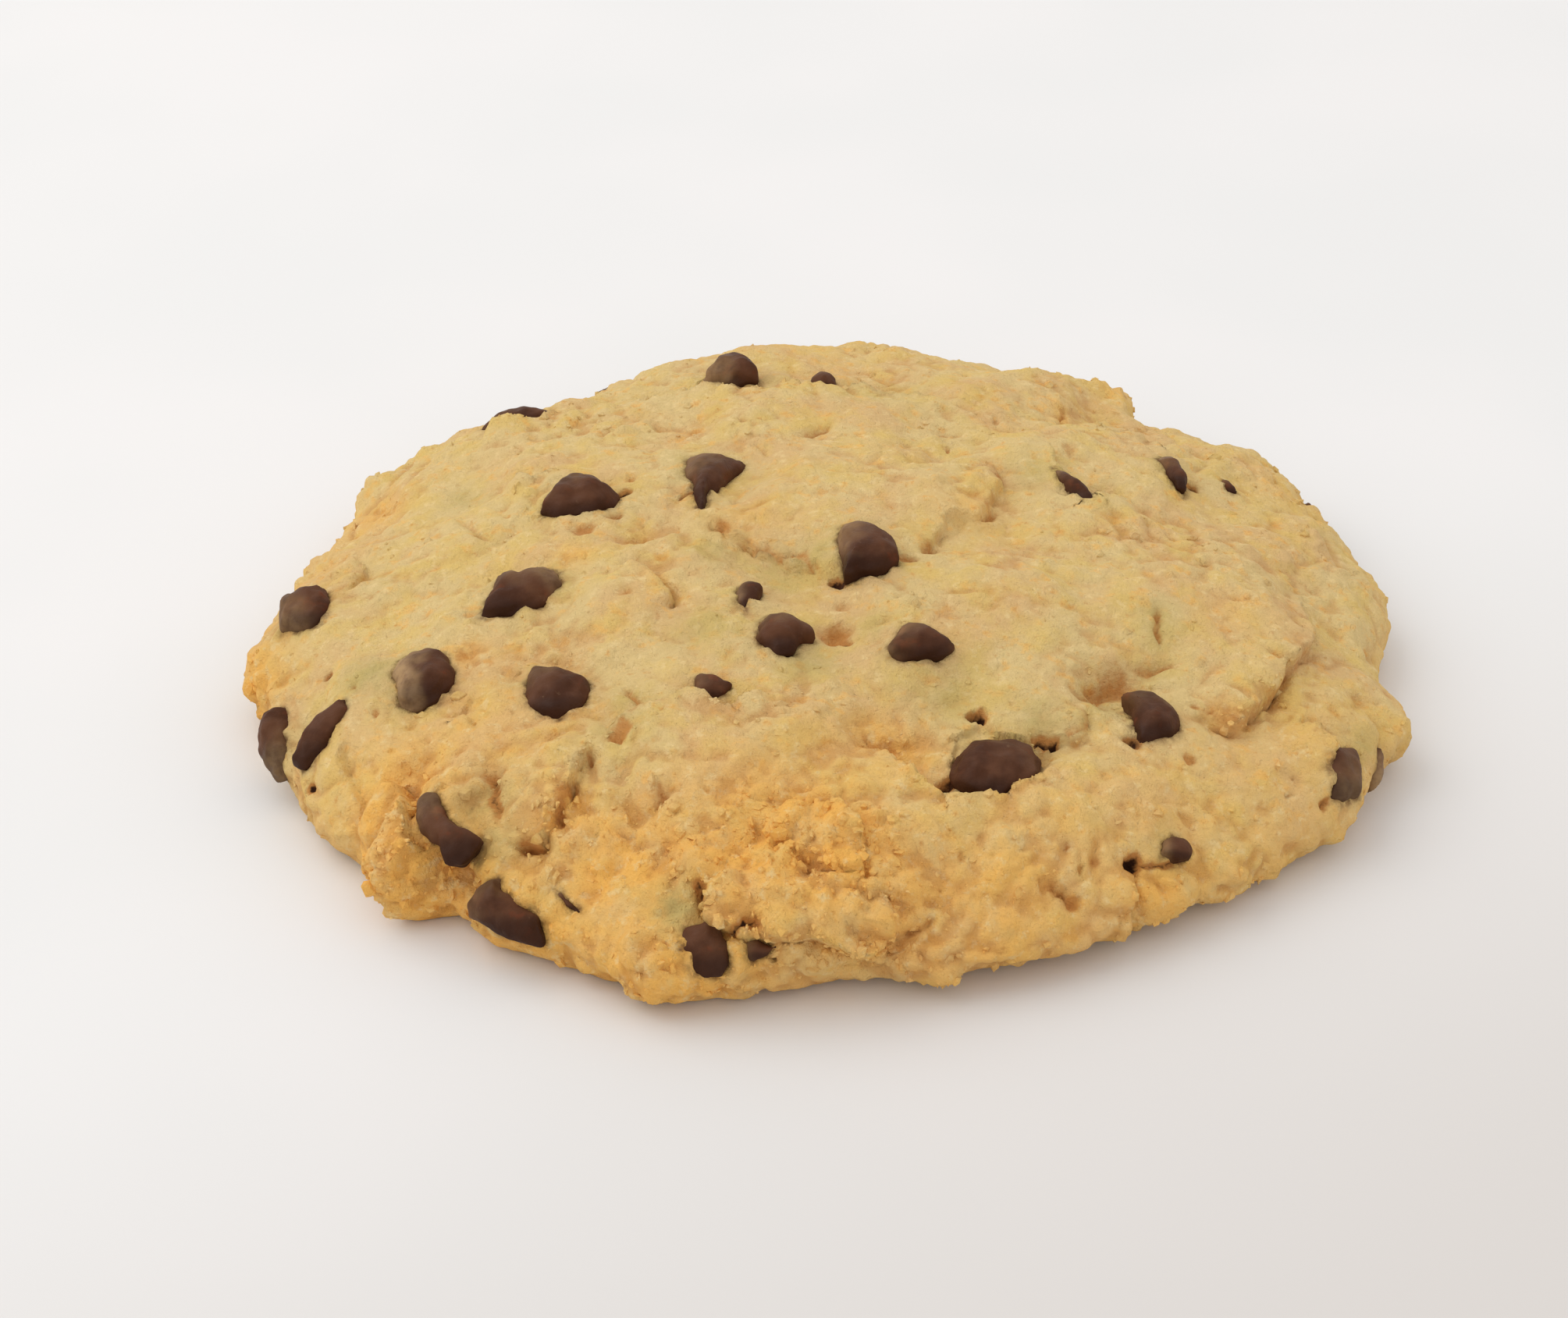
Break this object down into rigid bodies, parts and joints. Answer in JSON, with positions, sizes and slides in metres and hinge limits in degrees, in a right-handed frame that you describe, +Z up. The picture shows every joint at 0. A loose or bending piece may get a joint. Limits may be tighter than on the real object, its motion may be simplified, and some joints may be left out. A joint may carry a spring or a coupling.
{
  "type": "chocolate chip cookie",
  "caption": "Large round soft-baked cookie with a craggy domed top, rounded rim and flat underside, studded with chocolate chips set into the dough.",
  "frame": {"origin": "on the surface that the cookie rests on, under the middle of its box", "axes": "+Z up through the cookie, -Y towards the near side in the picture, +X to the right"},
  "size_m": [0.1066, 0.1082, 0.0196],
  "materials": {
    "dough": "dull grainy baked dough, tan with browner edges and crumbs",
    "chocolate": "dark brown chocolate with a soft sheen and a faint dusty bloom"
  },
  "bodies": {
    "root": {"dough": "dough", "chip_01": "chocolate", "chip_02": "chocolate", "chip_03": "chocolate", "chip_04": "chocolate", "chip_05": "chocolate", "chip_06": "chocolate", "chip_07": "chocolate", "chip_08": "chocolate", "chip_09": "chocolate", "chip_10": "chocolate", "chip_11": "chocolate", "chip_12": "chocolate", "chip_13": "chocolate", "chip_14": "chocolate", "chip_15": "chocolate", "chip_16": "chocolate", "chip_17": "chocolate", "chip_18": "chocolate", "chip_19": "chocolate", "chip_20": "chocolate", "chip_21": "chocolate", "chip_22": "chocolate", "chip_23": "chocolate", "chip_24": "chocolate", "chip_25": "chocolate", "chip_26": "chocolate", "chip_27": "chocolate", "chip_28": "chocolate", "chip_29": "chocolate", "chip_30": "chocolate", "chip_31": "chocolate", "chip_32": "chocolate", "chip_33": "chocolate", "chip_34": "chocolate", "chip_35": "chocolate", "chip_36": "chocolate", "chip_37": "chocolate", "chip_38": "chocolate", "chip_39": "chocolate"}
  },
  "joints": []
}
